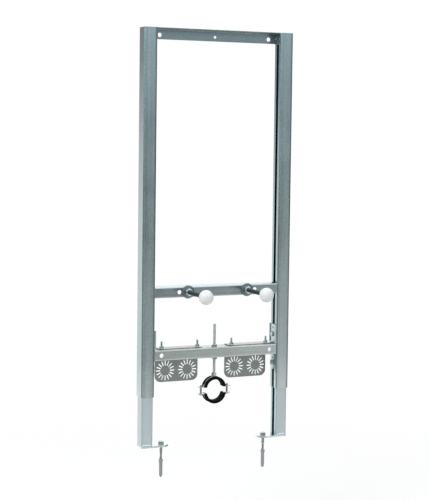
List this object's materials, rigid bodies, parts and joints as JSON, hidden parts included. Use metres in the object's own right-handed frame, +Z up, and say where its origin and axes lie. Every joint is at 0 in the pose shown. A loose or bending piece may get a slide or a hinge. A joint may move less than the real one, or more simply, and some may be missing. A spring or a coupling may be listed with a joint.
{
  "type": "bidet installation frame",
  "caption": "Galvanised steel installation frame for a wall-hung bidet, with telescopic legs, stud rail, sliding traverse, tap plates and a rubber-lined pipe clamp.",
  "frame": {"origin": "middle of the row of wall holes in the top rail, on the plane of the wall; the floor under the feet is at Z = -1.142 m", "axes": "+X to the right seen from the front, +Y back into the wall, +Z up"},
  "size_m": [0.45, 0.193, 1.249],
  "materials": {
    "galvanised_sheet": "satin galvanised",
    "leg_sheet": "bright galvanised",
    "zinc_fastener": "zinc plated",
    "white_plastic": "smooth matt",
    "grey_plastic": "smooth matt",
    "black_rubber": "matt"
  },
  "bodies": {
    "frame": {"left_upright": "galvanised_sheet", "right_upright": "galvanised_sheet", "top_rail": "galvanised_sheet", "stud_rail": "galvanised_sheet", "left_stud": "zinc_fastener", "left_stud_washer": "zinc_fastener", "left_front_nut": "zinc_fastener", "left_rear_nut": "zinc_fastener", "left_ball_cap": "white_plastic", "right_stud": "zinc_fastener", "right_stud_washer": "zinc_fastener", "right_front_nut": "zinc_fastener", "right_rear_nut": "zinc_fastener", "right_ball_cap": "white_plastic"},
    "left_leg": {"left_leg": "leg_sheet", "left_foot_plate": "galvanised_sheet", "left_anchor_screw": "zinc_fastener", "left_anchor_plug": "grey_plastic"},
    "right_leg": {"right_leg": "leg_sheet", "right_foot_plate": "galvanised_sheet", "right_anchor_screw": "zinc_fastener", "right_anchor_plug": "grey_plastic"},
    "traverse": {"traverse": "galvanised_sheet", "left_traverse_bracket": "galvanised_sheet", "left_lower_bracket_bolt": "zinc_fastener", "left_upper_bracket_bolt": "zinc_fastener", "left_lower_slot_nut": "zinc_fastener", "left_upper_slot_nut": "zinc_fastener", "left_tap_plate": "galvanised_sheet", "left_outer_plate_screw": "zinc_fastener", "left_inner_plate_screw": "zinc_fastener", "left_outer_plate_nut": "zinc_fastener", "left_inner_plate_nut": "zinc_fastener", "right_traverse_bracket": "galvanised_sheet", "right_lower_bracket_bolt": "zinc_fastener", "right_upper_bracket_bolt": "zinc_fastener", "right_lower_slot_nut": "zinc_fastener", "right_upper_slot_nut": "zinc_fastener", "right_tap_plate": "galvanised_sheet", "right_outer_plate_screw": "zinc_fastener", "right_inner_plate_screw": "zinc_fastener", "right_outer_plate_nut": "zinc_fastener", "right_inner_plate_nut": "zinc_fastener", "rod_upper_nut": "zinc_fastener", "rod_lower_nut": "zinc_fastener"},
    "pipe_clamp": {"clamp_rod": "zinc_fastener", "upper_clamp_band": "galvanised_sheet", "lower_clamp_band": "galvanised_sheet", "upper_clamp_lining": "black_rubber", "lower_clamp_lining": "black_rubber", "left_clamp_screw": "zinc_fastener", "right_clamp_screw": "zinc_fastener"}
  },
  "joints": [
    {"name": "left_leg_slide", "type": "slide", "parent": "frame", "child": "left_leg", "axis": [0, 0, -1], "range_m": [-0.1, 0.18]},
    {"name": "right_leg_slide", "type": "slide", "parent": "frame", "child": "right_leg", "axis": [0, 0, -1], "range_m": [-0.1, 0.18]},
    {"name": "traverse_slide", "type": "slide", "parent": "frame", "child": "traverse", "axis": [0, 0, 1], "range_m": [-0.045, 0.045]},
    {"name": "clamp_rod_slide", "type": "slide", "parent": "traverse", "child": "pipe_clamp", "axis": [0, 0, 1], "range_m": [-0.03, 0.025]}
  ]
}
